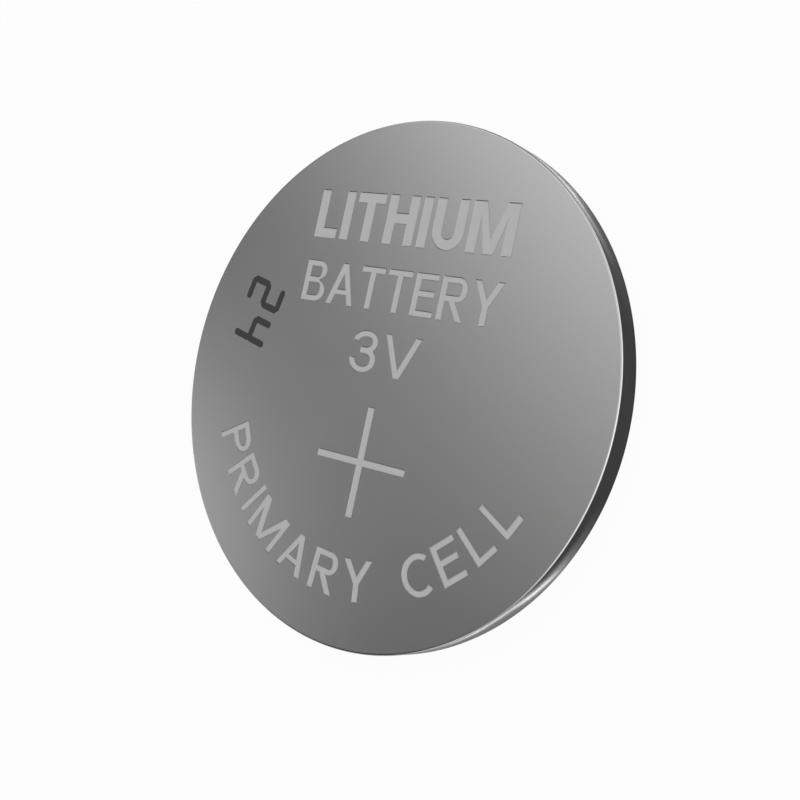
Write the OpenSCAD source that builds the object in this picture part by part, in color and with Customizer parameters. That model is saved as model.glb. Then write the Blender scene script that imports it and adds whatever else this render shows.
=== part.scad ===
// Lithium coin cell, drawn lying on its negative face.
// Sizes are in millimetres. The origin is the centre of the negative face and +Z points to the
// positive face. Every piece but the collector is a section turned about Z. Sections are drawn
// with the radius along X and the height along Y.

/* [Cell] */
// Outer diameter of the cell
cell_d = 20; // [18:0.1:24.5]
// Overall height, from the negative face to the positive face
cell_h = 1.6; // [1.5:0.05:3.2]
// Clearance left all round the gasket
fit = 0.02; // [0.01:0.005:0.03]

/* [Positive can] */
// Sheet thickness of the can
can_t = 0.2; // [0.16:0.01:0.24]
// Outside radius where the positive face turns into the side wall
can_edge_r = 0.07; // [0.05:0.01:0.24]
// Inside radius of the same corner
can_corner_r = 0.04; // [0.04:0.01:0.15]
// Inside radius of the rolled edge
crimp_r = 0.35; // [0.3:0.01:0.4]
// Height of the rolled edge above the negative face
crimp_lift = 0.17; // [0.12:0.01:0.2]

/* [Gasket] */
// Wall between the can and the skirt of the cap
gasket_wall = 0.36; // [0.3:0.01:0.5]
// Thickness above the free edge of the skirt
gasket_base = 0.3; // [0.2:0.01:0.32]
// Squeezed thickness between the rolled edge and the shoulder of the cap
gasket_fold = 0.15; // [0.1:0.01:0.18]
// Width of the inner lip that holds the skirt from inside
gasket_lip = 0.38; // [0.2:0.01:0.45]
// Width of the ring that shows between the cap and the rolled edge
ring_w = 0.4; // [0.25:0.01:0.5]
// How far that ring is sunk below the rolled edge
ring_sink = 0.08; // [0.04:0.01:0.12]

/* [Negative cap] */
// Sheet thickness of the cap
cap_t = 0.2; // [0.16:0.01:0.22]
// Inside radius of every bend in the cap
cap_bend_r = 0.1; // [0.08:0.01:0.12]
// Width of the step from the raised wall to the outside of the skirt
shoulder_w = 0.85; // [0.8:0.01:1]

/* [Anode] */
// Thickness of the lithium disc
anode_t = 0.3; // [0.15:0.01:0.45]
// Gap from the edge of the disc to the flat of the cap
anode_gap = 0.45; // [0.2:0.01:1]

/* [Separator] */
// Thickness of the separator felt
separator_t = 0.12; // [0.05:0.01:0.16]
// Gap between the separator wall and the wall of the cap
separator_gap = 0.25; // [0.15:0.01:0.4]
// Gap between the top of the separator wall and the can
separator_drop = 0.2; // [0.15:0.01:0.3]

/* [Cathode] */
// Gap between the pressed pellet and the separator wall
pellet_gap = 0.18; // [0.1:0.01:0.5]
// Chamfer round the edges of the pellet
pellet_chamfer = 0.08; // [0.04:0.01:0.12]

/* [Collector] */
// Thickness of the pierced collector disc
collector_t = 0.1; // [0.06:0.01:0.12]
// Solid border between the openings and the edge of the disc
collector_border = 0.4; // [0.3:0.05:0.8]
// How far the edge of the disc stays inside the pellet
collector_step = 0.2; // [0.1:0.01:0.4]
// Distance from one square opening to the next
mesh_pitch = 1.2; // [1.15:0.05:1.6]
// Width of the bars between the openings
mesh_bar = 0.4; // [0.3:0.01:0.5]

/* [Hidden] */
turn_fn = 240;
arc_fn = 64;

// Outside and inside of the can
cell_r = cell_d / 2;
crimp_x = cell_r - can_t - crimp_r;
crimp_y = crimp_lift + can_t + crimp_r;
ceiling = cell_h - can_t;

// Section of the cap, from the skirt inwards
skirt_r = cell_r - can_t - gasket_wall - 2 * fit;
skirt_top = ceiling - gasket_base - 2 * fit;
shoulder_y = crimp_lift + can_t + gasket_fold + 2 * fit;
wall_r = skirt_r - shoulder_w;
flat_r = wall_r - cap_t - cap_bend_r;
lower_bend_y = cap_t + cap_bend_r;
step_bend_x = wall_r + cap_bend_r;
step_bend_y = shoulder_y - cap_bend_r;
skirt_bend_x = skirt_r - cap_t - cap_bend_r;
skirt_bend_y = shoulder_y + cap_t + cap_bend_r;

// Gasket
mouth_r = wall_r + ring_w;
ring_y = crimp_lift + ring_sink;
bore_r = skirt_r - cap_t - fit - gasket_lip;

// Stack inside, from the cap up to the can
anode_r = flat_r - anode_gap;
separator_y = cap_t + anode_t;
separator_r = wall_r - cap_t - separator_gap;
pellet_r = separator_r - separator_t - pellet_gap;
pellet_y = separator_y + separator_t;
collector_y = ceiling - collector_t;
collector_r = pellet_r - collector_step;
mesh_r = collector_r - collector_border;
mesh_hole = mesh_pitch - mesh_bar;
mesh_reach = floor((mesh_r - mesh_hole / 2) / mesh_pitch);

module turned() {
    rotate_extrude($fn = turn_fn) children();
}

// Rectangle between two corners of a section
module block(x1, y1, x2, y2) {
    translate([x1, y1]) square([x2 - x1, y2 - y1]);
}

// Quarter disc about (x, y), filling the quadrant that the signs sx and sy give
module quarter(x, y, r, sx, sy) {
    translate([x, y]) intersection() {
        circle(r, $fn = arc_fn);
        translate([sx > 0 ? 0 : -r, sy > 0 ? 0 : -r]) square(r);
    }
}

// Quarter bend in the cap's sheet, grown by g on both faces
module cap_bend(x, y, sx, sy, g) {
    difference() {
        quarter(x, y, cap_bend_r + cap_t + g, sx, sy);
        translate([x, y]) circle(cap_bend_r - g, $fn = arc_fn);
    }
}

// Filled outline of the can, moved inwards from its outer surface by inset. Its upper corner has
// the radius edge_r.
module can_outline(inset, edge_r) {
    edge_x = cell_r - inset - edge_r;
    edge_y = cell_h - inset - edge_r;
    block(0, crimp_lift + inset, crimp_x, crimp_y);
    quarter(crimp_x, crimp_y, crimp_r + can_t - inset, 1, -1);
    block(0, crimp_y, cell_r - inset, edge_y);
    quarter(edge_x, edge_y, edge_r, 1, 1);
    block(0, edge_y, edge_x, cell_h - inset);
}

// The cap's sheet from its centre to the edge of the skirt, grown by g on both faces
module cap_sheet(g) {
    block(0, -g, flat_r, cap_t + g);
    cap_bend(flat_r, lower_bend_y, 1, -1, g);
    block(wall_r - cap_t - g, lower_bend_y, wall_r + g, step_bend_y);
    cap_bend(step_bend_x, step_bend_y, -1, 1, g);
    block(step_bend_x, shoulder_y - g, skirt_bend_x, shoulder_y + cap_t + g);
    cap_bend(skirt_bend_x, skirt_bend_y, 1, -1, g);
    block(skirt_r - cap_t - g, skirt_bend_y, skirt_r + g, skirt_top + g);
}

// Everything on the inner side of the middle of the cap's sheet, and the bore of the gasket
module cap_inside() {
    middle = cap_bend_r + cap_t / 2;
    block(0, 0, wall_r - cap_t / 2, step_bend_y);
    difference() {
        block(0, step_bend_y, step_bend_x, step_bend_y + middle);
        translate([step_bend_x, step_bend_y]) circle(middle, $fn = arc_fn);
    }
    block(0, step_bend_y + middle, bore_r, cell_h);
}

// Drawn steel cup, its open edge rolled inwards over the gasket
module positive_can() {
    color("silver") turned() difference() {
        can_outline(0, can_edge_r);
        can_outline(can_t, can_corner_r);
        block(0, 0, mouth_r, crimp_y);
    }
}

// Moulded ring that fills the room between can and cap, and shows as a thin ring below
module gasket() {
    color("dimgray") turned() difference() {
        union() {
            can_outline(can_t + fit, can_corner_r - fit);
            block(wall_r, ring_y, mouth_r - fit, shoulder_y);
        }
        cap_sheet(fit);
        cap_inside();
    }
}

// Pressed steel cap with a stepped shoulder and an upright skirt
module negative_cap() {
    color("gainsboro") turned() cap_sheet(0);
}

// Lithium disc pressed onto the inside of the cap
module lithium_anode() {
    color("lightsteelblue") turned() block(0, cap_t, anode_r, separator_y);
}

// Felt cup that keeps the pellet off the lithium and the cap
module separator() {
    color("ivory") turned() {
        block(0, separator_y, separator_r, pellet_y);
        block(separator_r - separator_t, pellet_y, separator_r, ceiling - separator_drop);
    }
}

// Pressed manganese dioxide pellet with chamfered edges
module cathode_pellet() {
    color("dimgray") turned() polygon([
        [0, pellet_y],
        [pellet_r - pellet_chamfer, pellet_y],
        [pellet_r, pellet_y + pellet_chamfer],
        [pellet_r, collector_y - pellet_chamfer],
        [pellet_r - pellet_chamfer, collector_y],
        [0, collector_y]
    ]);
}

// Steel disc pierced with a grid of square openings, between the pellet and the can
module cathode_collector() {
    color("darkgray") translate([0, 0, collector_y]) difference() {
        cylinder(r = collector_r, h = collector_t, $fn = turn_fn);
        for (i = [-mesh_reach : mesh_reach], j = [-mesh_reach : mesh_reach]) {
            far_x = abs(i) * mesh_pitch + mesh_hole / 2;
            far_y = abs(j) * mesh_pitch + mesh_hole / 2;
            if (norm([far_x, far_y]) < mesh_r)
                translate([i * mesh_pitch, j * mesh_pitch, collector_t / 2])
                    cube([mesh_hole, mesh_hole, 2 * collector_t], center = true);
        }
    }
}

positive_can();
gasket();
negative_cap();
lithium_anode();
separator();
cathode_pellet();
cathode_collector();
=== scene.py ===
# %% [markdown]
# A lithium coin cell. The real cell is a steel can whose open edge is rolled over a plastic
# gasket, which grips a steel cap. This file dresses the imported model: it gives the three pieces
# that show a fine turned mesh, strikes the marks into the positive face, finishes every surface
# and sets a plain studio. The frame holds every CAD piece in metres, with the negative face on
# the floor at z = 0, so the first cell loads it and keeps its box.

# %% Load the frame
import math

import bmesh
import bpy
from mathutils import Matrix, Vector, geometry


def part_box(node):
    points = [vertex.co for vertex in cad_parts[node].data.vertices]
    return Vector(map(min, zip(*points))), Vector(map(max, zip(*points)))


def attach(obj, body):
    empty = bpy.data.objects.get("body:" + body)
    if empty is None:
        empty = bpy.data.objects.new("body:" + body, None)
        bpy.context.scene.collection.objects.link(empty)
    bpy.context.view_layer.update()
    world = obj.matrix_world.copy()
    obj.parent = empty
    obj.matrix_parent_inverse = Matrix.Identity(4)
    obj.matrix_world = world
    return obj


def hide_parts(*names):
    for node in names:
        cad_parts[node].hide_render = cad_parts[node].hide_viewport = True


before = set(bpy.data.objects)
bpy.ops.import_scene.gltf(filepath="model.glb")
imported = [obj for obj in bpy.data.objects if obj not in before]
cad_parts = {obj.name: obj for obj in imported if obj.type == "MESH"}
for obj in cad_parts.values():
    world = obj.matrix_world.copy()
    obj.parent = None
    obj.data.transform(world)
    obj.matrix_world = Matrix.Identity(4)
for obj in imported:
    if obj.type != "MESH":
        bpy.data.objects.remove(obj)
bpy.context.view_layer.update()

scene = bpy.context.scene

# %% [markdown]
# Small parts are easiest to think about in millimetres, so every mesh here is drawn in
# millimetres and brought to metres as its last step. The overall sizes come from the frame's own
# nodes. A box can't tell a sheet's thickness or the radius of a bend, so those are named here.

# %% Sizes in millimetres
MM = 0.001


def reach(node):
    low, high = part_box(node)
    return Vector(low) / MM, Vector(high) / MM


can_low, can_high = reach("positive_can")
cap_high = reach("negative_cap")[1]
gasket_low = reach("gasket")[0]

CELL_R = can_high.x
CELL_TOP = can_high.z
CAN_T = 0.2
CAN_EDGE_R = 0.07
CAN_CORNER_R = 0.04
CRIMP_LIFT = can_low.z
CRIMP_R = 0.35
MOUTH_R = 8.95

SKIRT_R = cap_high.x
SKIRT_TOP = cap_high.z
CAP_T = 0.2
CAP_BEND_R = 0.1
SHOULDER_W = 0.85
CAP_WALL_R = SKIRT_R - SHOULDER_W
SHOULDER_Z = 0.56

FIT = 0.02
GASKET_BORE_R = 8.8
RING_Z = gasket_low.z

# The middles of the bends that the three outlines share
BEND_OUTER = CAP_T + CAP_BEND_R
STEP = (CAP_WALL_R + CAP_BEND_R, SHOULDER_Z - CAP_BEND_R)
SKIRT = (SKIRT_R - BEND_OUTER, SHOULDER_Z + BEND_OUTER)
CRIMP = (CELL_R - CAN_T - CRIMP_R, CRIMP_LIFT + CAN_T + CRIMP_R)
print("cell radius and height:", round(CELL_R, 3), round(CELL_TOP, 3))

# %% [markdown]
# The photograph looks at the positive face from 38 degrees off its axis and from close by, which
# is why the far side looks smaller. The cell lies on its cap here, so the camera looks down on it
# and is rolled until the marks lean as they do in the picture. A constraint could aim the camera,
# but a roll is easier to see when the camera's three axes are written out: one to the right of
# the picture, one up, and one from the cell back to the camera.

# %% Camera
TILT = math.radians(38.34)
TURN = math.radians(-1.41)
ROLL = math.radians(13.29)
DISTANCE = 43.61
LENS = 51.81
PICTURE = 800
CENTRE_IN_PICTURE = (389.77, 384.13)


def camera_axes():
    near = Vector((math.cos(TILT) * math.cos(TURN), math.cos(TILT) * math.sin(TURN), -math.sin(TILT)))
    along = Vector((-math.sin(TURN), math.cos(TURN), 0))
    back = near.cross(along)
    right = near * math.cos(ROLL) + along * math.sin(ROLL)
    up = along * math.cos(ROLL) - near * math.sin(ROLL)
    return right, up, back


def add_camera():
    right, up, back = camera_axes()
    place = (Vector((0, 0, CELL_TOP / 2)) + back * DISTANCE) * MM
    data = bpy.data.cameras.new("camera")
    camera = bpy.data.objects.new("camera", data)
    scene.collection.objects.link(camera)
    camera.matrix_world = Matrix.Translation(place) @ Matrix((right, up, back)).transposed().to_4x4()
    data.sensor_width = 36
    data.lens = LENS
    data.shift_x = (PICTURE / 2 - CENTRE_IN_PICTURE[0]) / PICTURE
    data.shift_y = (CENTRE_IN_PICTURE[1] - PICTURE / 2) / PICTURE
    data.clip_start = 1 * MM
    data.clip_end = 20
    scene.camera = camera
    return camera


camera = add_camera()
print("camera at mm", [round(v / MM, 2) for v in camera.matrix_world.translation])

# %% [markdown]
# Four helpers keep the node trees short to read. One makes an empty material and hands back its
# Principled shader, one adds a node and sets its plain settings and sockets, one lets a height dent
# the surface, and one starts a node group with named inputs and outputs.

# %% Node helpers
def new_material(name):
    material = bpy.data.materials.new(name)
    material.use_nodes = True
    nodes = material.node_tree.nodes
    nodes.clear()
    shader = nodes.new("ShaderNodeBsdfPrincipled")
    output = nodes.new("ShaderNodeOutputMaterial")
    output.location = (300, 0)
    material.node_tree.links.new(shader.outputs["BSDF"], output.inputs["Surface"])
    return material, shader


def add_node(tree, kind, place=(0, 0), settings=None, values=None):
    node = tree.nodes.new(kind)
    node.location = place
    for key, value in (settings or {}).items():
        setattr(node, key, value)
    for key, value in (values or {}).items():
        node.inputs[key].default_value = value
    return node


def add_dents(tree, shader, height, strength, depth):
    dents = add_node(tree, "ShaderNodeBump", (-250, -200), values={"Strength": strength})
    dents.inputs["Distance"].default_value = depth * MM
    tree.links.new(height, dents.inputs["Height"])
    tree.links.new(dents.outputs["Normal"], shader.inputs["Normal"])


VECTOR_INPUTS = {"Direction", "Point", "Start", "End"}


def new_group(name, inputs, outputs):
    tree = bpy.data.node_groups.new(name, "ShaderNodeTree")
    for label in inputs:
        kind = "NodeSocketVector" if label in VECTOR_INPUTS else "NodeSocketFloat"
        tree.interface.new_socket(label, in_out="INPUT", socket_type=kind)
    for label in outputs:
        tree.interface.new_socket(label, in_out="OUTPUT", socket_type="NodeSocketFloat")
    enter = add_node(tree, "NodeGroupInput", (-900, 0))
    leave = add_node(tree, "NodeGroupOutput", (500, 0))
    return tree, enter, leave


# %% [markdown]
# Rolled sheet has a faint grain: tiny dents that scatter light, and slow changes in how
# sharply it mirrors the room. Can, cap and collector are all sheet, so the grain is one node
# group, built once and placed in each material with its own values. It puts out a height for a
# Bump node and a roughness that wavers round a middle value.

# %% Sheet grain group
GRAIN_DEPTH = 0.01


def sheet_grain_group():
    tree, enter, leave = new_group(
        "sheet grain", ["Grain size", "Roughness", "Waver"], ["Height", "Roughness"]
    )
    link = tree.links.new
    place = add_node(tree, "ShaderNodeTexCoord", (-900, 300))
    frequency = add_node(tree, "ShaderNodeMath", (-700, 0), {"operation": "DIVIDE"}, {0: 1 / MM})
    fine = add_node(tree, "ShaderNodeTexNoise", (-450, 200), values={"Detail": 3, "Roughness": 0.6})
    slow = add_node(tree, "ShaderNodeTexNoise", (-450, -200), values={"Scale": 260, "Detail": 2})
    centred = add_node(tree, "ShaderNodeMath", (-200, -200), {"operation": "SUBTRACT"}, {1: 0.5})
    scaled = add_node(tree, "ShaderNodeMath", (0, -200), {"operation": "MULTIPLY"})
    total = add_node(tree, "ShaderNodeMath", (200, -200), {"operation": "ADD"})
    link(enter.outputs["Grain size"], frequency.inputs[1])
    link(frequency.outputs[0], fine.inputs["Scale"])
    link(place.outputs["Object"], fine.inputs["Vector"])
    link(place.outputs["Object"], slow.inputs["Vector"])
    link(slow.outputs["Fac"], centred.inputs[0])
    link(centred.outputs[0], scaled.inputs[0])
    link(enter.outputs["Waver"], scaled.inputs[1])
    link(scaled.outputs[0], total.inputs[0])
    link(enter.outputs["Roughness"], total.inputs[1])
    link(fine.outputs["Fac"], leave.inputs["Height"])
    link(total.outputs[0], leave.inputs["Roughness"])
    return tree


sheet_grain = sheet_grain_group()


def sheet_metal(name, colour, roughness, waver, grain_mm, bump, metallic=1.0):
    material, shader = new_material(name)
    tree = material.node_tree
    shader.inputs["Base Color"].default_value = (*colour, 1)
    shader.inputs["Metallic"].default_value = metallic
    values = {"Grain size": grain_mm, "Roughness": roughness, "Waver": waver}
    grain = add_node(tree, "ShaderNodeGroup", (-500, 0), {"node_tree": sheet_grain}, values)
    tree.links.new(grain.outputs["Roughness"], shader.inputs["Roughness"])
    add_dents(tree, shader, grain.outputs["Height"], bump, GRAIN_DEPTH)
    return material


# %% [markdown]
# The date figures are jet-printed as short strokes with round ends, like the bars of a clock
# display. Ink has no thickness to speak of, so it is painted by the material and not modelled.
# One group draws one stroke: it measures how far a point of the face is from the line between two
# ends, and puts out 1 inside half a stroke's width and 0 beyond it, with a slightly soft edge.

# %% Printed stroke group
def printed_stroke_group():
    tree, enter, leave = new_group(
        "printed stroke", ["Point", "Start", "End", "Half width", "Soft edge"], ["Ink"]
    )
    link = tree.links.new
    from_start = add_node(tree, "ShaderNodeVectorMath", (-700, 200), {"operation": "SUBTRACT"})
    stroke = add_node(tree, "ShaderNodeVectorMath", (-700, -100), {"operation": "SUBTRACT"})
    shadow = add_node(tree, "ShaderNodeVectorMath", (-500, 200), {"operation": "DOT_PRODUCT"})
    square = add_node(tree, "ShaderNodeVectorMath", (-500, -100), {"operation": "DOT_PRODUCT"})
    share = add_node(tree, "ShaderNodeMath", (-300, 100), {"operation": "DIVIDE", "use_clamp": True})
    nearest = add_node(tree, "ShaderNodeVectorMath", (-150, 0), {"operation": "SCALE"})
    aside = add_node(tree, "ShaderNodeVectorMath", (0, 100), {"operation": "SUBTRACT"})
    distance = add_node(tree, "ShaderNodeVectorMath", (150, 100), {"operation": "LENGTH"})
    outer = add_node(tree, "ShaderNodeMath", (0, -200), {"operation": "ADD"})
    ink = add_node(tree, "ShaderNodeMapRange", (300, 0), values={"To Min": 1, "To Max": 0})
    link(enter.outputs["Point"], from_start.inputs[0])
    link(enter.outputs["Start"], from_start.inputs[1])
    link(enter.outputs["End"], stroke.inputs[0])
    link(enter.outputs["Start"], stroke.inputs[1])
    for slot in (0, 1):
        link(stroke.outputs["Vector"], square.inputs[slot])
    link(from_start.outputs["Vector"], shadow.inputs[0])
    link(stroke.outputs["Vector"], shadow.inputs[1])
    link(shadow.outputs["Value"], share.inputs[0])
    link(square.outputs["Value"], share.inputs[1])
    link(stroke.outputs["Vector"], nearest.inputs[0])
    link(share.outputs[0], nearest.inputs["Scale"])
    link(from_start.outputs["Vector"], aside.inputs[0])
    link(nearest.outputs["Vector"], aside.inputs[1])
    link(aside.outputs["Vector"], distance.inputs[0])
    link(enter.outputs["Half width"], outer.inputs[0])
    link(enter.outputs["Soft edge"], outer.inputs[1])
    link(distance.outputs["Value"], ink.inputs["Value"])
    link(enter.outputs["Half width"], ink.inputs["From Min"])
    link(outer.outputs[0], ink.inputs["From Max"])
    link(ink.outputs["Result"], leave.inputs["Ink"])
    return tree


printed_stroke = printed_stroke_group()

# %% [markdown]
# The strokes of the two figures stand on a little grid, one unit wide and one high. They are laid
# out here in millimetres on the face, turned the way the printer ran past the cell.

# %% Date figures
CODE_PLACE = Vector((-6.85, 1.85))
CODE_TURN = math.radians(-103)
CODE_PITCH = 1.5
STROKE = 0.29
STROKE_TRIM = 0.35
FIGURE_W = 0.85
FIGURE_H = 1.75
STROKES = {
    "top": ((0, 1), (1, 1)),
    "middle": ((0, 0.5), (1, 0.5)),
    "foot": ((0, 0), (1, 0)),
    "upper left": ((0, 0.5), (0, 1)),
    "upper right": ((1, 0.5), (1, 1)),
    "lower left": ((0, 0), (0, 0.5)),
    "lower right": ((1, 0), (1, 0.5)),
}
FIGURES = {
    "2": ("top", "upper right", "middle", "lower left", "foot"),
    "4": ("upper left", "upper right", "middle", "lower right"),
}


def on_face(x, y, shift):
    place = Vector(((x - 0.5) * FIGURE_W + shift, (y - 0.5) * FIGURE_H))
    place.rotate(Matrix.Rotation(CODE_TURN, 2))
    return place + CODE_PLACE


def figure_strokes(figure, shift):
    strokes = []
    for name in FIGURES[figure]:
        start, end = (on_face(*corner, shift) for corner in STROKES[name])
        trim = (end - start).normalized() * STROKE * STROKE_TRIM
        strokes.append((start + trim, end - trim))
    return strokes


date_strokes = figure_strokes("2", -CODE_PITCH / 2) + figure_strokes("4", CODE_PITCH / 2)
print("date strokes", len(date_strokes))

# %% [markdown]
# The can is nickel-plated steel. Its face keeps the satin of the rolled sheet, and the drawing die
# has polished the bend and the side wall. So towards the rim the steel first turns smoother. From the
# bend down it is also given a paler colour than the face, which is a painted brightening of the
# bright line along the bend and of what the wall mirrors. The ink lies over the steel where a
# stroke's
# mask says so: there the metal turns to a dark dull coat. The punches that strike the marks have
# matt ends and plain sides. So each mark has a rough floor, which scatters the light of the whole
# room and looks paler than the face, and smoother walls, whose darker steel colour is painted shade.

# %% Steel, ink and mark finishes
FACE_ROUGHNESS = 0.26
WALL_ROUGHNESS = 0.12
SMOOTHER_FROM = 9.9
SMOOTHER_TO = 9.96
BRIGHTENED_FROM = 9.96
BRIGHTENED_TO = 9.978
STEEL = (0.5, 0.499, 0.497)
# The paler steel of the bend and wall is a painted brightening of their highlight and reflections.
BRIGHTENED_BEND_STEEL = (0.75, 0.748, 0.745)
INK = (0.034, 0.034, 0.036)
INK_ROUGHNESS = 0.55
INK_SOFT = 0.02
INK_DEPTH = 0.01


def place_in_mm(tree):
    place = add_node(tree, "ShaderNodeTexCoord", (-2200, 0))
    to_mm = {1: (1 / MM, 1 / MM, 0)}
    flat = add_node(tree, "ShaderNodeVectorMath", (-2000, 0), {"operation": "MULTIPLY"}, to_mm)
    tree.links.new(place.outputs["Object"], flat.inputs[0])
    return place, flat


def ink_mask(tree, place, flat):
    link = tree.links.new
    group = {"node_tree": printed_stroke}
    width = {"Half width": STROKE / 2 - INK_SOFT / 2, "Soft edge": INK_SOFT}
    total = None
    for i, (start, end) in enumerate(date_strokes):
        values = {"Start": (*start, 0), "End": (*end, 0), **width}
        stroke = add_node(tree, "ShaderNodeGroup", (-1700, -220 * i), group, values)
        link(flat.outputs["Vector"], stroke.inputs["Point"])
        either = add_node(tree, "ShaderNodeMath", (-1450, -220 * i), {"operation": "MAXIMUM"}, {1: 0})
        link(stroke.outputs["Ink"], either.inputs[0])
        if total:
            link(total.outputs[0], either.inputs[1])
        total = either
    split = add_node(tree, "ShaderNodeSeparateXYZ", (-1700, 300))
    under = {1: (CELL_TOP - INK_DEPTH) * MM}
    on_top = add_node(tree, "ShaderNodeMath", (-1450, 300), {"operation": "GREATER_THAN"}, under)
    mask = add_node(tree, "ShaderNodeMath", (-1200, 0), {"operation": "MULTIPLY"})
    link(place.outputs["Object"], split.inputs[0])
    link(split.outputs["Z"], on_top.inputs[0])
    link(total.outputs[0], mask.inputs[0])
    link(on_top.outputs[0], mask.inputs[1])
    return mask.outputs[0]


def steel_colour(tree, place, radius):
    # The bend and all below it get a paler steel colour than the face: painted brightening of their
    # reflections.
    link = tree.links.new
    split = add_node(tree, "ShaderNodeSeparateXYZ", (-1000, 700))
    bend_foot = {1: (CELL_TOP - CAN_EDGE_R) * MM}
    below = add_node(tree, "ShaderNodeMath", (-800, 700), {"operation": "LESS_THAN"}, bend_foot)
    bend_share = {"From Min": BRIGHTENED_FROM, "From Max": BRIGHTENED_TO}
    brightening = add_node(tree, "ShaderNodeMapRange", (-800, 900), values=bend_share)
    either = add_node(tree, "ShaderNodeMath", (-600, 700), {"operation": "MAXIMUM"})
    tones = {"A": (*STEEL, 1), "B": (*BRIGHTENED_BEND_STEEL, 1)}
    colour = add_node(tree, "ShaderNodeMix", (-450, 600), {"data_type": "RGBA"}, tones)
    link(place.outputs["Object"], split.inputs[0])
    link(split.outputs["Z"], below.inputs[0])
    link(radius.outputs["Value"], brightening.inputs["Value"])
    link(brightening.outputs["Result"], either.inputs[0])
    link(below.outputs[0], either.inputs[1])
    link(either.outputs[0], colour.inputs["Factor"])
    return colour.outputs["Result"]


def can_finish():
    material = sheet_metal("can steel", STEEL, FACE_ROUGHNESS, 0.03, 0.05, 0.1)
    tree = material.node_tree
    link = tree.links.new
    shader = next(node for node in tree.nodes if node.type == "BSDF_PRINCIPLED")
    grain = next(node for node in tree.nodes if node.type == "GROUP")
    place, flat = place_in_mm(tree)
    mask = ink_mask(tree, place, flat)
    radius = add_node(tree, "ShaderNodeVectorMath", (-1000, 400), {"operation": "LENGTH"})
    smoother = {"From Min": SMOOTHER_FROM, "From Max": SMOOTHER_TO}
    smoother.update({"To Min": FACE_ROUGHNESS, "To Max": WALL_ROUGHNESS})
    satin = add_node(tree, "ShaderNodeMapRange", (-800, 400), values=smoother)
    link(flat.outputs["Vector"], radius.inputs[0])
    link(radius.outputs["Value"], satin.inputs["Value"])
    link(satin.outputs["Result"], grain.inputs["Roughness"])
    colour = add_node(tree, "ShaderNodeMix", (-250, 400), {"data_type": "RGBA"}, {"B": (*INK, 1)})
    link(steel_colour(tree, place, radius), colour.inputs["A"])
    dulled = add_node(tree, "ShaderNodeMix", (-250, 100), values={3: INK_ROUGHNESS})
    bare = add_node(tree, "ShaderNodeMath", (-250, 250), {"operation": "SUBTRACT"}, {0: 1})
    link(mask, colour.inputs["Factor"])
    link(mask, dulled.inputs["Factor"])
    link(mask, bare.inputs[1])
    link(grain.outputs["Roughness"], dulled.inputs[2])
    link(colour.outputs["Result"], shader.inputs["Base Color"])
    link(dulled.outputs["Result"], shader.inputs["Roughness"])
    link(bare.outputs[0], shader.inputs["Metallic"])
    return material


can_steel = can_finish()
cap_steel = sheet_metal("cap steel", (0.52, 0.515, 0.505), 0.3, 0.04, 0.06, 0.2)
mark_floor = sheet_metal("struck mark", (0.59, 0.59, 0.588), 0.65, 0.08, 0.06, 0.7, metallic=0.3)
# The mark walls get a darker steel colour than the face, which is painted shade in the recesses;
# their lower roughness is real.
darkened_mark_wall = sheet_metal("darkened mark wall", (0.36, 0.36, 0.358), 0.35, 0.05, 0.05, 0.2)
print("metal finishes:", can_steel.name, cap_steel.name, mark_floor.name, darkened_mark_wall.name)

# %% [markdown]
# Can, cap and gasket are all round, so each is one outline turned about Z. Blender's Screw
# modifier can do that, but turning the outline in code gives even quads and true arcs at the
# bends. A bend also gets a support point just before and after it, which keeps the flat faces
# beside it evenly lit.

# %% Turning an outline
AROUND = 360
SUPPORT = 0.012


def arc(x, z, r, start, end, steps):
    angles = [math.radians(start + (end - start) * i / steps) for i in range(steps + 1)]
    return [(x + r * math.cos(a), z + r * math.sin(a)) for a in angles]


def bend(x, z, r, start, end, steps=14):
    points = arc(x, z, r, start, end, steps)
    turning = 90 if end > start else -90
    lead = math.radians(start + turning)
    trail = math.radians(end + turning)
    first = (points[0][0] - SUPPORT * math.cos(lead), points[0][1] - SUPPORT * math.sin(lead))
    last = (points[-1][0] + SUPPORT * math.cos(trail), points[-1][1] + SUPPORT * math.sin(trail))
    return [first, *points, last]


def as_piece(mesh, name):
    bmesh.ops.recalc_face_normals(mesh, faces=mesh.faces)
    data = bpy.data.meshes.new(name)
    mesh.to_mesh(data)
    mesh.free()
    piece = bpy.data.objects.new(name, data)
    scene.collection.objects.link(piece)
    return piece


def turned(name, outline, closed):
    # A closed outline is a ring. An open one starts and ends with a flat disc on the axis.
    mesh = bmesh.new()
    angles = [2 * math.pi * i / AROUND for i in range(AROUND)]
    rings = []
    for r, z in outline:
        rings.append([mesh.verts.new((r * math.cos(a), r * math.sin(a), z)) for a in angles])
    pairs = list(zip(rings, rings[1:]))
    if closed:
        pairs.append((rings[-1], rings[0]))
    else:
        mesh.faces.new(rings[0])
        mesh.faces.new(rings[-1])
    for one, two in pairs:
        for i in range(AROUND):
            j = (i + 1) % AROUND
            mesh.faces.new((one[i], one[j], two[j], two[i]))
    return as_piece(mesh, name)


def complete(piece, sharp_degrees=30):
    # Sharp edges are found while the mesh is in millimetres, and it goes to metres last.
    piece.data.shade_smooth()
    piece.data.set_sharp_from_angle(angle=math.radians(sharp_degrees))
    piece.data.transform(Matrix.Scale(MM, 4))
    piece.data.update()
    return len(piece.data.polygons)


# %% [markdown]
# The can is a drawn cup, upside down: its bottom is the positive face, and its open edge is
# rolled inwards. The outline starts on the face, goes down the outside, round the rolled edge to
# the lip, and back up the inside. The face ring stops short of the bend, so that the disc inside
# it stays perfectly flat for the marks.

# %% Can body
FACE_R = 9.5
LIP_ROUND = 0.05


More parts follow.
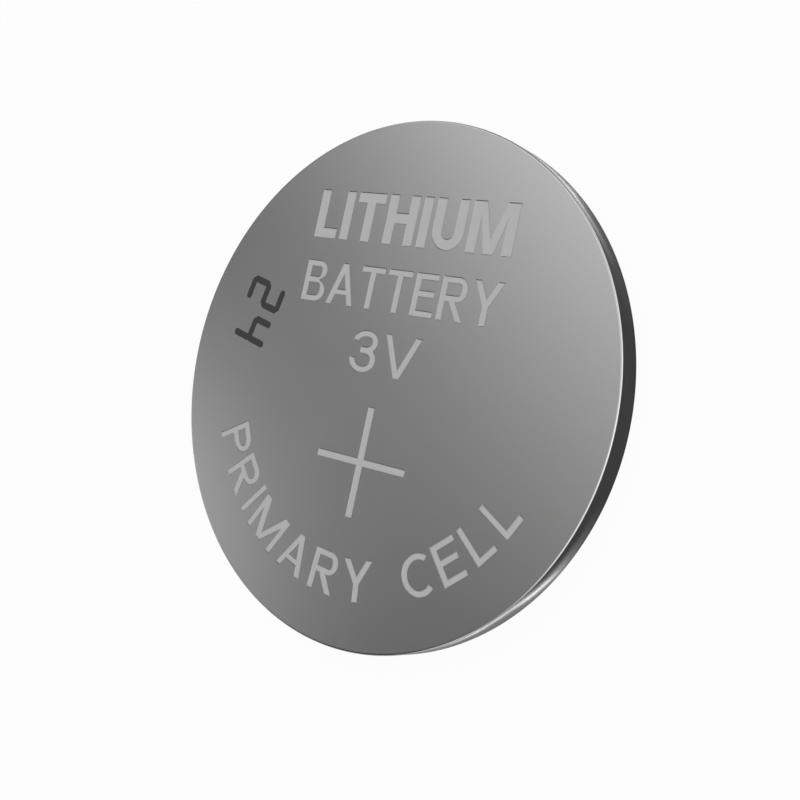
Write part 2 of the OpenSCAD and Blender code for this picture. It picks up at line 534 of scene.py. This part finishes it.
def can_outline():
    corner_x = CELL_R - CAN_T - CAN_CORNER_R
    corner_z = CELL_TOP - CAN_T - CAN_CORNER_R
    outside = [(FACE_R, CELL_TOP)]
    outside += bend(CELL_R - CAN_EDGE_R, CELL_TOP - CAN_EDGE_R, CAN_EDGE_R, 90, 0, 16)
    outside += bend(*CRIMP, CAN_T + CRIMP_R, 0, -90, 24)
    lip = arc(MOUTH_R + LIP_ROUND, CRIMP_LIFT + LIP_ROUND, LIP_ROUND, -90, -180, 5)
    lip += arc(MOUTH_R + LIP_ROUND, CRIMP_LIFT + CAN_T - LIP_ROUND, LIP_ROUND, 180, 90, 5)
    inside = bend(*CRIMP, CRIMP_R, -90, 0, 10)
    inside += bend(corner_x, corner_z, CAN_CORNER_R, 0, 90, 4)
    return outside + lip + inside + [(FACE_R, CELL_TOP - CAN_T)]


can = turned("positive_can_body", can_outline(), closed=False)
for finish in (can_steel, mark_floor, darkened_mark_wall):
    can.data.materials.append(finish)
print("can body faces", len(can.data.polygons))

# %% [markdown]
# The marks are struck into the face. A texture could fake them, but real recesses catch light
# and shade on their walls from every side. So each mark is a solid cutter with sloping walls,
# and one boolean takes them all out of the face. A cutter stands on a flat outline: its foot is
# the outline drawn in a little, at the depth of the strike, and its head is the same outline drawn
# out as much, the same distance above the face.

# %% Cutter from an outline
STRIKE = 0.022
SLOPE = 0.026


def drawn_out(outline, distance):
    # Each corner moves along its mitre. A hole is given clockwise, so it shrinks as it should.
    moved = []
    for i, corner in enumerate(outline):
        before = (corner - outline[i - 1]).normalized()
        after = (outline[(i + 1) % len(outline)] - corner).normalized()
        one = Vector((before.y, -before.x))
        two = Vector((after.y, -after.x))
        moved.append(corner + (one + two) * distance / (1 + one.dot(two)))
    return moved


def cutter(into, outlines):
    foot = [drawn_out(outline, -SLOPE) for outline in outlines]
    head = [drawn_out(outline, SLOPE) for outline in outlines]
    levels = []
    for rings, z in ((foot, CELL_TOP - STRIKE), (head, CELL_TOP + STRIKE)):
        levels.append([[into.verts.new((v.x, v.y, z)) for v in ring] for ring in rings])
    for low, high in zip(*levels):
        for i in range(len(low)):
            j = (i + 1) % len(low)
            into.faces.new((low[i], low[j], high[j], high[i]))
    for rings in levels:
        flat = [vertex for ring in rings for vertex in ring]
        places = [[vertex.co for vertex in ring] for ring in rings]
        for triangle in geometry.tessellate_polygon(places):
            into.faces.new([flat[index] for index in triangle])


# %% [markdown]
# The letters are drawn here, as a die maker cuts punches: plain upright strokes of one even width,
# with round bowls. Each is a list of outlines in a box of width w and height h, with stroke s. The
# first outline runs anticlockwise, and holes follow clockwise. The words are plain generic ones.

# %% Letters of straight strokes
WAIST = 0.53


def at(points):
    return [Vector(point) for point in points]


def letter_i(w, h, s):
    return [at([(0, 0), (s, 0), (s, h), (0, h)])]


def letter_l(w, h, s):
    return [at([(0, 0), (w, 0), (w, s), (s, s), (s, h), (0, h)])]


def letter_t(w, h, s):
    a, b = (w - s) / 2, (w + s) / 2
    return [at([(a, 0), (b, 0), (b, h - s), (w, h - s), (w, h), (0, h), (0, h - s), (a, h - s)])]


def letter_h(w, h, s):
    a, b = WAIST * h - s / 2, WAIST * h + s / 2
    foot = [(0, 0), (s, 0), (s, a), (w - s, a), (w - s, 0), (w, 0)]
    head = [(w, h), (w - s, h), (w - s, b), (s, b), (s, h), (0, h)]
    return [at(foot + head)]


def letter_e(w, h, s):
    a, b, short = WAIST * h - s / 2, WAIST * h + s / 2, 0.93 * w
    foot = [(0, 0), (w, 0), (w, s), (s, s), (s, a), (short, a)]
    head = [(short, b), (s, b), (s, h - s), (w, h - s), (w, h), (0, h)]
    return [at(foot + head)]


def letter_m(w, h, s):
    # The two slanting strokes meet at the foot, and are as wide as the upright ones.
    tip, arm, notch = 0.5 * s, 1.3 * s, 0.66 * h
    crotch = 1.35 * s
    left = [(0, 0), (s, 0), (s, notch), (w / 2 - tip, 0)]
    right = [(w / 2 + tip, 0), (w - s, notch), (w - s, 0), (w, 0)]
    head = [(w, h), (w - arm, h), (w / 2, crotch), (arm, h), (0, h)]
    return [at(left + right + head)]


def slanting(half, rise, s):
    # How far a stroke leans for each unit of height, and how wide it is measured along the row.
    lean = half / rise
    return lean, s * math.sqrt(1 + lean * lean)


def letter_v(w, h, s):
    tip = 0.5 * s
    lean, wide = slanting(w / 2 - tip, h, s)
    crotch = h - (w / 2 - wide) / lean
    head = [(w, h), (w - wide, h), (w / 2, crotch), (wide, h), (0, h)]
    return [at([(w / 2 - tip, 0), (w / 2 + tip, 0)] + head)]


def letter_y(w, h, s):
    fork = 0.42 * h
    a, b = (w - s) / 2, (w + s) / 2
    lean, wide = slanting(a, h - fork, s)
    crotch = h - (w / 2 - wide) / lean
    foot = [(a, fork), (a, 0), (b, 0), (b, fork)]
    head = [(w, h), (w - wide, h), (w / 2, crotch), (wide, h), (0, h)]
    return [at(foot + head)]


def letter_a(w, h, s):
    tip = 0.5 * s
    lean, wide = slanting(w / 2 - tip, h, s)
    low, high = 0.24 * h, 0.24 * h + 0.9 * s
    one, two, top = wide + lean * low, wide + lean * high, (w / 2 - wide) / lean
    foot = [(0, 0), (wide, 0), (one, low), (w - one, low), (w - wide, 0), (w, 0)]
    head = [(w / 2 + tip, h), (w / 2 - tip, h)]
    return [at(foot + head), at([(two, high), (w / 2, top), (w - two, high)])]


# %% [markdown]
# A bowl is half an ellipse. The outer edge runs one way round it and the inner edge runs back, one
# stroke's width nearer to the middle.

# %% Letters with bowls
BOWL_STEPS = 14


def bowl(x, y, across, up, start, end):
    turns = [math.radians(start + (end - start) * i / BOWL_STEPS) for i in range(BOWL_STEPS + 1)]
    return [(x + across * math.cos(a), y + up * math.sin(a)) for a in turns]


def letter_u(w, h, s):
    middle = w / 2
    outer = [(0, h)] + bowl(middle, middle, middle, middle, 180, 360) + [(w, h)]
    inner = [(w - s, h)] + bowl(middle, middle, middle - s, middle - s, 360, 180) + [(s, h)]
    return [at(outer + inner)]


def letter_c(w, h, s):
    across = w * 0.54
    outer = bowl(across, h / 2, across, h / 2, 48, 180)
    outer += bowl(across, h / 2, across, h / 2, 180, 312)[1:]
    inner = bowl(across, h / 2, across - s, h / 2 - s, 312, 180)
    inner += bowl(across, h / 2, across - s, h / 2 - s, 180, 48)[1:]
    return [at(outer + inner)]


def letter_p(w, h, s, leg=()):
    low = 0.43 * h
    up = (h - low) / 2
    x = max(w - 1.1 * up, leg[-1][0] + 0.1 * s if leg else 0)
    outer = [(0, 0), (s, 0), (s, low), *leg] + bowl(x, low + up, w - x, up, -90, 90) + [(0, h)]
    hole = [(s, h - s)] + bowl(x, low + up, w - x - s, up - s, 90, -90) + [(s, low + s)]
    return [at(outer), at(hole)]


def letter_r(w, h, s):
    low = 0.43 * h
    start = 0.34 * w
    lean, wide = slanting(w - start - 1.1 * s, low, s)
    return letter_p(0.97 * w, h, s, [(start, low), (w - wide, 0), (w, 0), (start + wide, low)])


def letter_b(w, h, s):
    waist = WAIST * h
    low, high = waist / 2, (h - waist) / 2
    x, y = w - 1.15 * low, 0.95 * w - 1.15 * high
    outer = [(0, 0)] + bowl(x, low, w - x, low, -90, 72)
    outer += bowl(y, waist + high, 0.95 * w - y, high, -72, 90) + [(0, h)]
    inner_low, inner_high = (waist - 1.5 * s) / 2, (h - waist - 1.5 * s) / 2
    lower = bowl(x, s + inner_low, w - x - s, inner_low, 90, -90)
    upper = bowl(y, h - s - inner_high, 0.95 * w - y - s, inner_high, 90, -90)
    hole = [(s, waist - s / 2)] + lower + [(s, s)]
    other = [(s, h - s)] + upper + [(s, waist + s / 2)]
    return [at(outer), at(hole), at(other)]


def figure_3(w, h, s):
    waist = WAIST * h
    low, high = waist / 2 + 0.25 * s, (h - waist) / 2 + 0.25 * s
    middle, top = w / 2, h - high
    small = 0.47 * w
    outer = bowl(middle, low, middle, low, -188, 0) + bowl(middle, low, middle, low, 0, 42)[1:]
    outer += bowl(middle, top, small, high, -42, 30) + bowl(middle, top, small, high, 30, 178)[1:]
    inner = bowl(middle, top, small - s, high - s, 178, -75)
    inner += [(0.36 * w, top - high + s), (0.36 * w, 2 * low - s)]
    inner += bowl(middle, low, middle - s, low - s, 75, -188)
    return [at(outer + inner)]


# %% [markdown]
# Each sign has a drawing and its own share of width, as in any alphabet: an M is wide and an L is
# narrow. A row is set to fill its room with equal gaps, and a curved row is set round the cell's
# middle with the feet of its letters outwards.

# %% Rows of marks
SIGNS = {
    "A": (letter_a, 0.82),
    "B": (letter_b, 0.68),
    "C": (letter_c, 0.8),
    "E": (letter_e, 0.62),
    "H": (letter_h, 0.72),
    "I": (letter_i, 0),
    "L": (letter_l, 0.56),
    "M": (letter_m, 1.0),
    "P": (letter_p, 0.67),
    "R": (letter_r, 0.72),
    "T": (letter_t, 0.68),
    "U": (letter_u, 0.72),
    "V": (letter_v, 0.9),
    "Y": (letter_y, 0.78),
    "3": (figure_3, 0.66),
}


def punches(text, height, stroke, wide):
    cut = []
    for sign in text:
        if sign != " ":
            drawing, share = SIGNS[sign]
            width = max(share * height * wide, stroke)
            outlines = drawing(width, height, stroke)
            across = [point.x for outline in outlines for point in outline]
            cut.append((outlines, min(across), max(across) - min(across)))
    return cut


def places_along(cut, text, room, word_gap):
    widths = [width for _, _, width in cut]
    spaces = text.count(" ")
    gap = (room - sum(widths) - spaces * word_gap) / (len(widths) - 1 - spaces)
    places = []
    place = 0
    for sign in text:
        if sign == " ":
            place += word_gap - gap
        else:
            places.append(place)
            place += widths[len(places) - 1] + gap
    return places, gap


def strike_row(into, text, left, right, base, height, stroke, wide):
    cut = punches(text, height, stroke, wide)
    places, gap = places_along(cut, text, right - left, 0)
    for (outlines, low, _), place in zip(cut, places):
        shift = Vector((left + place - low, base))
        cutter(into, [[point + shift for point in outline] for outline in outlines])
    print("row", text, "gap", round(gap, 3))


def strike_arc(into, text, radius, start, end, height, stroke, wide, word_gap):
    cut = punches(text, height, stroke, wide)
    room = math.radians(end - start) * radius
    places, gap = places_along(cut, text, room, word_gap)
    for (outlines, low, width), place in zip(cut, places):
        turn = Matrix.Rotation(math.radians(start) + (place + width / 2) / radius + math.pi / 2, 2)
        shift = Vector((-low - width / 2, -radius))
        cutter(into, [[turn @ (point + shift) for point in outline] for outline in outlines])
    print("arc", text, "gap", round(gap, 3))


# %% [markdown]
# The plus sign marks the positive side. It is two long strokes of even width, drawn as one
# twelve-cornered outline, so that its walls meet cleanly in the inner corners.

# %% Plus sign and words
PLUS_CENTRE = Vector((0.03, -3.1))
PLUS_HALF = (2.13, 2.1)
PLUS_STROKE = 0.3
HEAVY = 0.43
LIGHT = 0.255


def strike_plus(into):
    h = PLUS_STROKE / 2
    w, t = PLUS_HALF
    top = [(w, h), (h, h), (h, t), (-h, t), (-h, h), (-w, h)]
    foot = [(-w, -h), (-h, -h), (-h, -t), (h, -t), (h, -h), (w, -h)]
    cutter(into, [[point + PLUS_CENTRE for point in at(top + foot)]])


struck = bmesh.new()
strike_row(struck, "LITHIUM", -4.72, 4.71, 5.15, 1.95, HEAVY, 1.03)
strike_row(struck, "BATTERY", -4.71, 4.74, 2.6, 1.65, LIGHT, 1.02)
strike_row(struck, "3V", -1.56, 1.7, 0.19, 1.63, LIGHT, 1.18)
strike_arc(struck, "PRIMARY CELL", 8.21, -156, -25.5, 1.59, LIGHT, 1.1, 1.7)
strike_plus(struck)
print("struck cutters", len(struck.faces), "faces")

# %% [markdown]
# One boolean takes all cutters out of the can. Its manifold solver is fast and leaves closed
# meshes closed, as long as no two cutters overlap. A face of the result is told by where it lies:
# one below the face and no deeper than the strike belongs to a mark. If it points straight up it
# is the mark's floor, and if it slopes it is a wall. Everything else stays bare steel.

# %% Strike the marks into the face
def strike(piece, cutter_mesh):
    cutter = as_piece(cutter_mesh, "cutters")
    cut = piece.modifiers.new("strike", "BOOLEAN")
    cut.operation = "DIFFERENCE"
    cut.solver = "MANIFOLD"
    cut.object = cutter
    graph = bpy.context.evaluated_depsgraph_get()
    made = bpy.data.meshes.new_from_object(piece.evaluated_get(graph))
    piece.modifiers.clear()
    piece.data = made
    bpy.data.objects.remove(cutter)


HAIR = 0.0005
LEVEL = 0.99


def in_a_mark(face):
    depth = CELL_TOP - face.center.z
    return HAIR < depth < STRIKE + HAIR and face.center.xy.length < FACE_R


strike(can, struck)
for face in can.data.polygons:
    face.material_index = 0
    if in_a_mark(face):
        # A sloping face takes the darker wall steel, whose colour is painted shade.
        face.material_index = 1 if face.normal.z > LEVEL else 2
check = bmesh.new()
check.from_mesh(can.data)
marked = sum(face.area for face in can.data.polygons if face.material_index == 1)
print("area of the marks in square mm:", round(marked, 2))
print("open edges after the cut:", sum(not edge.is_manifold for edge in check.edges))
check.free()
print("can faces", complete(can))

# %% [markdown]
# The cap is pressed from sheet: a raised flat disc, a step out to the shoulder, and a skirt that
# stands up inside the gasket. Its outline runs along the outside of the sheet from the middle to
# the free edge of the skirt, and back along the inside.

# %% Negative cap
FLAT_R = CAP_WALL_R - BEND_OUTER
DISC_R = FLAT_R - 0.3


def cap_outline():
    outside = [(DISC_R, 0)]
    outside += bend(FLAT_R, BEND_OUTER, BEND_OUTER, -90, 0)
    outside += bend(*STEP, CAP_BEND_R, 180, 90, 8)
    outside += bend(*SKIRT, BEND_OUTER, -90, 0)
    outside += [(SKIRT_R, SKIRT_TOP), (SKIRT_R - CAP_T, SKIRT_TOP)]
    inside = bend(*SKIRT, CAP_BEND_R, 0, -90, 8)
    inside += bend(*STEP, BEND_OUTER, 90, 180)
    inside += bend(FLAT_R, BEND_OUTER, CAP_BEND_R, 0, -90, 8)
    return outside + inside + [(DISC_R, CAP_T)]


cap = turned("negative_cap_body", cap_outline(), closed=False)
cap.data.materials.append(cap_steel)
print("cap faces", complete(cap))

# %% [markdown]
# Plastic, felt, lithium and pressed powder aren't rolled, but none of them is one flat colour. One
# recipe serves all four: a noise moves the colour between a dark and a light tone, and the same
# noise dents the surface. Scale, dents and roughness make each its own.

# %% Mottled finishes
def mottled(name, tones, scale, roughness, bump, metallic=0, stretch=(1, 1, 1), detail=4, depth=0.02):
    material, shader = new_material(name)
    tree = material.node_tree
    place = add_node(tree, "ShaderNodeTexCoord", (-1100, 0))
    mapping = add_node(tree, "ShaderNodeMapping", (-900, 0), values={"Scale": stretch})
    spots = add_node(tree, "ShaderNodeTexNoise", (-700, 0), values={"Scale": scale, "Detail": detail})
    tone = add_node(tree, "ShaderNodeValToRGB", (-450, 100))
    for stop, colour in zip(tone.color_ramp.elements, tones):
        stop.color = (*colour, 1)
    tree.links.new(place.outputs["Object"], mapping.inputs["Vector"])
    tree.links.new(mapping.outputs["Vector"], spots.inputs["Vector"])
    tree.links.new(spots.outputs["Fac"], tone.inputs["Fac"])
    tree.links.new(tone.outputs["Color"], shader.inputs["Base Color"])
    add_dents(tree, shader, spots.outputs["Fac"], bump, depth)
    shader.inputs["Roughness"].default_value = roughness
    shader.inputs["Metallic"].default_value = metallic
    return material


lithium = mottled("lithium", ((0.4, 0.41, 0.43), (0.58, 0.59, 0.61)), 2500, 0.5, 0.3, metallic=1)
felt = mottled("felt", ((0.62, 0.6, 0.55), (0.85, 0.84, 0.8)), 5000, 0.95, 0.8, stretch=(1, 6, 1))
powder = mottled("pressed powder", ((0.012, 0.011, 0.011), (0.035, 0.033, 0.032)), 9000, 0.8, 0.6)
moulded = ((0.012, 0.012, 0.013), (0.03, 0.03, 0.032))
plastic = mottled("gasket plastic", moulded, 14000, 0.55, 0.4, detail=2, depth=0.01)
print("mottled finishes:", lithium.name, felt.name, powder.name, plastic.name)

# %% [markdown]
# The gasket is a moulded ring of polypropylene. It fills the room between can and cap, so its
# outline follows both at the fitting clearance, and its lower end shows as a thin dark ring round
# the cap. The plastic has a fine matt grain from its mould.

# %% Gasket
def gasket_outline():
    mouth = MOUTH_R - FIT
    room_top = CELL_TOP - CAN_T - FIT
    room_r = CELL_R - CAN_T - FIT
    against_can = [(CAP_WALL_R + FIT, RING_Z), (mouth, RING_Z), (mouth, CRIMP_LIFT + CAN_T + FIT)]
    against_can += bend(*CRIMP, CRIMP_R - FIT, -90, 0)
    against_can += [(room_r, room_top), (GASKET_BORE_R, room_top)]
    against_cap = [(GASKET_BORE_R, SHOULDER_Z + CAP_T + FIT)]
    against_cap += bend(*SKIRT, CAP_BEND_R - FIT, -90, 0, 6)
    against_cap += [(SKIRT_R - CAP_T - FIT, SKIRT_TOP + FIT), (SKIRT_R + FIT, SKIRT_TOP + FIT)]
    against_cap += bend(*SKIRT, BEND_OUTER + FIT, 0, -90)
    against_cap += bend(*STEP, CAP_BEND_R - FIT, 90, 180, 6)
    return against_can + against_cap


gasket = turned("gasket_ring", gasket_outline(), closed=True)
gasket.data.materials.append(plastic)
print("gasket faces", complete(gasket))

# %% [markdown]
# The four pieces sealed inside keep their CAD solids, which already have the right form. Each
# still gets its own finish: soft dull lithium, felt with its fibres, pressed black powder, and
# the same sheet grain as the can on the pierced collector.

# %% Finishes of the sealed pieces
def dress(node, material):
    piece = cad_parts[node]
    piece.data.materials.clear()
    piece.data.materials.append(material)


collector_steel = sheet_metal("collector steel", (0.48, 0.48, 0.47), 0.35, 0.05, 0.05, 0.2)
dress("lithium_anode", lithium)
dress("separator", felt)
dress("cathode_pellet", powder)
dress("cathode_collector", collector_steel)
print("dressed the sealed pieces")

# %% [markdown]
# Each new piece stands for its CAD node, whose solid is hidden, and rides on the cell's one body.

# %% Tie the pieces to the frame
for piece, node, slot in (
    (can, "positive_can", "can_steel"),
    (gasket, "gasket", "gasket_plastic"),
    (cap, "negative_cap", "cap_steel"),
):
    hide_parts(node)
    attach(piece, "root")
print("pieces tied:", can.name, gasket.name, cap.name)

# %% [markdown]
# A mirror-like part shows its studio, so the light is designed by what the steel reflects. The
# world is a dim dome with soft glows in it, like feathered softboxes. Each row of the table is one
# glow: its angle round the cell, with the camera near 0, its angle above the floor, its strength
# and how tight it is. The glows behind the cell, from 130 to 200 degrees, are what the flat face
# mirrors: it is pale where it sees their middle and darker where it looks past them. The very
# broad one on the camera's side fills the marks and draws the bright line along the polished bend,
# with the help of the smaller ones beside it.

# %% World
def glow_group():
    tree, enter, leave = new_group("soft glow", ["Direction", "Strength", "Tightness"], ["Light"])
    link = tree.links.new
    sky = add_node(tree, "ShaderNodeTexCoord", (-900, 300))
    ray = add_node(tree, "ShaderNodeVectorMath", (-700, 300), {"operation": "NORMALIZE"})
    facing = add_node(tree, "ShaderNodeVectorMath", (-500, 200), {"operation": "DOT_PRODUCT"})
    front = add_node(tree, "ShaderNodeMath", (-300, 200), {"operation": "MAXIMUM"}, {1: 0})
    feather = add_node(tree, "ShaderNodeMath", (-100, 200), {"operation": "POWER"})
    light = add_node(tree, "ShaderNodeMath", (100, 100), {"operation": "MULTIPLY"})
    link(sky.outputs["Generated"], ray.inputs[0])
    link(ray.outputs["Vector"], facing.inputs[0])
    link(enter.outputs["Direction"], facing.inputs[1])
    link(facing.outputs["Value"], front.inputs[0])
    link(front.outputs[0], feather.inputs[0])
    link(enter.outputs["Tightness"], feather.inputs[1])
    link(feather.outputs[0], light.inputs[0])
    link(enter.outputs["Strength"], light.inputs[1])
    link(light.outputs[0], leave.inputs["Light"])
    return tree


def towards(around, above):
    a = math.radians(around)
    e = math.radians(above)
    return Vector((math.cos(e) * math.cos(a), math.cos(e) * math.sin(a), math.sin(e)))


DOME = 0.055
GLOWS = (
    (132, 61, 1.6, 16),
    (140, 45, 1.1, 60),
    (190, 34, 2.6, 120),
    (0, 45, 1.55, 2),
    (0, 36, 0.35, 30),
    (60, 20, 0.45, 6),
    (-45, 35, 0.75, 40),
    (-92, 20, 1.45, 50),
    (135, 12, 0.8, 20),
    (199, 43, 0.9, 400),
    (183, 9, 0.75, 24),
)


def build_world():
    world = bpy.data.worlds.new("studio")
    scene.world = world
    world.use_nodes = True
    tree = world.node_tree
    tree.nodes.clear()
    output = add_node(tree, "ShaderNodeOutputWorld", (400, 0))
    shade = add_node(tree, "ShaderNodeBackground", (200, 0))
    group = glow_group()
    total = None
    for i, (around, above, strength, tightness) in enumerate(GLOWS):
        direction = towards(around, above)
        values = {"Direction": direction, "Strength": strength, "Tightness": tightness}
        glow = add_node(tree, "ShaderNodeGroup", (-400, -200 * i), {"node_tree": group}, values)
        joined = add_node(tree, "ShaderNodeMath", (-150, -200 * i), {"operation": "ADD"}, {1: DOME})
        tree.links.new(glow.outputs["Light"], joined.inputs[0])
        if total:
            tree.links.new(total.outputs[0], joined.inputs[1])
        total = joined
    tree.links.new(total.outputs[0], shade.inputs["Strength"])
    tree.links.new(shade.outputs["Background"], output.inputs["Surface"])


build_world()
print("world with", len(GLOWS), "glows")

# %% [markdown]
# The floor is one large plain pale sheet. The picture has a white ground, so for rays from the
# camera, and for those that the metal reflects, most of the floor's colour is plain white light,
# and the rest still takes the cell's soft shadow.

# %% Floor
FLOOR_HALF = 1.5
WHITE_SHARE = 0.94


def floor_material():
    material, shader = new_material("floor")
    tree = material.node_tree
    link = tree.links.new
    shader.inputs["Base Color"].default_value = (0.95, 0.95, 0.95, 1)
    shader.inputs["Roughness"].default_value = 0.9
    white = add_node(tree, "ShaderNodeEmission", (0, -250))
    rays = add_node(tree, "ShaderNodeLightPath", (-700, 200))
    seen = add_node(tree, "ShaderNodeMath", (-450, 200), {"operation": "ADD", "use_clamp": True})
    through = add_node(tree, "ShaderNodeMath", (-250, 200), {"operation": "ADD", "use_clamp": True})
    share = add_node(tree, "ShaderNodeMath", (-50, 200), {"operation": "MULTIPLY"}, {1: WHITE_SHARE})
    mix = add_node(tree, "ShaderNodeMixShader", (150, 0))
    link(rays.outputs["Is Camera Ray"], seen.inputs[0])
    link(rays.outputs["Is Glossy Ray"], seen.inputs[1])
    link(seen.outputs[0], through.inputs[0])
    link(rays.outputs["Is Transmission Ray"], through.inputs[1])
    link(through.outputs[0], share.inputs[0])
    link(share.outputs[0], mix.inputs["Fac"])
    link(shader.outputs["BSDF"], mix.inputs[1])
    link(white.outputs["Emission"], mix.inputs[2])
    link(mix.outputs["Shader"], tree.nodes["Material Output"].inputs["Surface"])
    return material


def add_floor():
    mesh = bmesh.new()
    bmesh.ops.create_grid(mesh, x_segments=2, y_segments=2, size=FLOOR_HALF)
    floor = as_piece(mesh, "floor")
    floor.data.materials.append(floor_material())


add_floor()
print("floor", FLOOR_HALF * 2, "m wide")

# %% [markdown]
# The side wall points at the floor beside the cell, and would show it as a white band that melts
# into the white ground. Instead a thin ring on the floor, which only reflections can see, paints
# what the wall mirrors. This is a painted reflection, not a real card, and it turns the wall into a
# dark line round the pale face. The ring is nearly black beside the near wall and grey all round,
# and its margin next to the cell is paler. On that margin lies a thin bright emissive line. It is a
# painted glint that glows though it is no lamp, and the wall shows it as the two glints at the ends
# of its dark band. One colour ramp round the cell holds all four values: the margin's tone is red,
# the ring's tone is green, the glint's strength is blue and its distance from the cell is alpha.

# %% Painted reflection card
CARD_INNER = 9.7
CARD_OUTER = 16
CARD_LIFT = 0.02
MARGIN_FROM = 0.44
MARGIN_TO = 0.56
PAINTED_GLINT_WIDTH = 0.06
PAINTED_GLINT_POWER = 1.9
PAINTED_REFLECTION_ROUND_THE_CELL = (
    (-62, 0.37, 0.37, 0.55, 0.31),
    (-55, 0.35, 0.35, 1.0, 0.39),
    (-50, 0.34, 0.3, 1.0, 0.47),
    (-45, 0.34, 0.23, 0.7, 0.47),
    (-40, 0.37, 0.2, 0.95, 0.42),
    (-35, 0.39, 0.1, 0.8, 0.385),
    (-31, 0.48, 0.08, 0.1, 0.36),
    (-28, 0.34, 0.08, 0, 0.36),
    (-24, 0.21, 0.08, 0, 0.36),
    (-20, 0.135, 0.08, 0, 0.36),
    (-14, 0.083, 0.08, 0, 0.4),
    (20, 0.083, 0.08, 0, 0.43),
    (27, 0.11, 0.087, 0, 0.43),
    (34, 0.13, 0.11, 0, 0.43),
    (40, 0.155, 0.135, 0.1, 0.43),
    (44, 0.18, 0.14, 0.25, 0.43),
    (49, 0.24, 0.19, 0.45, 0.4),
    (54, 0.4, 0.3, 0.75, 0.34),
    (60, 0.42, 0.4, 0.7, 0.28),
    (66, 0.42, 0.42, 0.6, 0.2),
    (72, 0.42, 0.42, 0, 0.2),
)


def place_round_the_cell(tree):
    link = tree.links.new
    place, flat = place_in_mm(tree)
    split = add_node(tree, "ShaderNodeSeparateXYZ", (-1700, -100))
    angle = add_node(tree, "ShaderNodeMath", (-1500, -100), {"operation": "ARCTAN2"})
    whole = {"From Min": -math.pi, "From Max": math.pi}
    share = add_node(tree, "ShaderNodeMapRange", (-1300, -100), values=whole)
    radius = add_node(tree, "ShaderNodeVectorMath", (-1700, 150), {"operation": "LENGTH"})
    away = add_node(tree, "ShaderNodeMath", (-1500, 150), {"operation": "SUBTRACT"}, {1: CELL_R})
    link(flat.outputs["Vector"], split.inputs[0])
    link(flat.outputs["Vector"], radius.inputs[0])
    link(split.outputs["Y"], angle.inputs[0])
    link(split.outputs["X"], angle.inputs[1])
    link(angle.outputs[0], share.inputs["Value"])
    link(radius.outputs["Value"], away.inputs[0])
    return share.outputs["Result"], away.outputs[0]


# The ring's colours are painted reflection for the side wall, and its emission is a painted glint.
def painted_reflection_material():
    material, shader = new_material("painted reflection card")
    tree = material.node_tree
    link = tree.links.new
    share, away = place_round_the_cell(tree)
    ramp = add_node(tree, "ShaderNodeValToRGB", (-1100, 0))
    stops = ramp.color_ramp.elements
    while len(stops) < len(PAINTED_REFLECTION_ROUND_THE_CELL):
        stops.new(0.5)
    for stop, (degrees, margin, tone, painted_glint, place) in zip(stops, PAINTED_REFLECTION_ROUND_THE_CELL):
        stop.position = degrees / 360 + 0.5
        stop.color = (margin, tone, painted_glint, place)
    values = add_node(tree, "ShaderNodeSeparateColor", (-800, 0))
    soft = {"interpolation_type": "SMOOTHSTEP"}
    margin = {"From Min": MARGIN_FROM, "From Max": MARGIN_TO}
    beyond = add_node(tree, "ShaderNodeMapRange", (-800, 300), soft, margin)
    tone = add_node(tree, "ShaderNodeMix", (-550, 200))
    aside = add_node(tree, "ShaderNodeMath", (-800, -300), {"operation": "SUBTRACT"})
    off = add_node(tree, "ShaderNodeMath", (-650, -300), {"operation": "ABSOLUTE"})
    # A thin bright line at the distance held in alpha: the painted glint in the wall.
    lit = {"From Min": PAINTED_GLINT_WIDTH, "From Max": 0, "To Max": PAINTED_GLINT_POWER}
    line = add_node(tree, "ShaderNodeMapRange", (-500, -300), soft, lit)
    painted_glint = add_node(tree, "ShaderNodeMath", (-300, -200), {"operation": "MULTIPLY"})
    link(share, ramp.inputs["Fac"])
    link(ramp.outputs["Color"], values.inputs[0])
    link(away, beyond.inputs["Value"])
    link(beyond.outputs["Result"], tone.inputs[0])
    link(values.outputs[0], tone.inputs[2])
    link(values.outputs[1], tone.inputs[3])
    link(away, aside.inputs[0])
    link(ramp.outputs["Alpha"], aside.inputs[1])
    link(aside.outputs[0], off.inputs[0])
    link(off.outputs[0], line.inputs["Value"])
    link(line.outputs["Result"], painted_glint.inputs[0])
    link(values.outputs[2], painted_glint.inputs[1])
    link(tone.outputs[0], shader.inputs["Base Color"])
    link(painted_glint.outputs[0], shader.inputs["Emission Color"])
    shader.inputs["Emission Strength"].default_value = 1
    shader.inputs["Roughness"].default_value = 0.9
    shader.inputs["Specular IOR Level"].default_value = 0
    return material


def add_painted_reflection_card():
    mesh = bmesh.new()
    rings = []
    for radius in (CARD_INNER, CARD_OUTER):
        corners = arc(0, 0, radius, 0, 360 * (AROUND - 1) / AROUND, AROUND - 1)
        rings.append([mesh.verts.new((x, y, CARD_LIFT)) for x, y in corners])
    for i in range(AROUND):
        j = (i + 1) % AROUND
        mesh.faces.new((rings[0][i], rings[1][i], rings[1][j], rings[0][j]))
    card = as_piece(mesh, "painted_reflection_card")
    card.data.transform(Matrix.Scale(MM, 4))
    card.data.materials.append(painted_reflection_material())
    # Only reflections see the ring. It paints the wall's reflection and glints, and lights no diffuse
    # surface.
    card.visible_camera = False
    card.visible_diffuse = False
    card.visible_shadow = False
    card.visible_transmission = False


add_painted_reflection_card()
print("card from radius", CARD_INNER, "to", CARD_OUTER, "mm")

# %% [markdown]
# The colours are shown as written, with no film look.

# %% Finish
scene.view_settings.view_transform = "Standard"
bpy.context.view_layer.update()
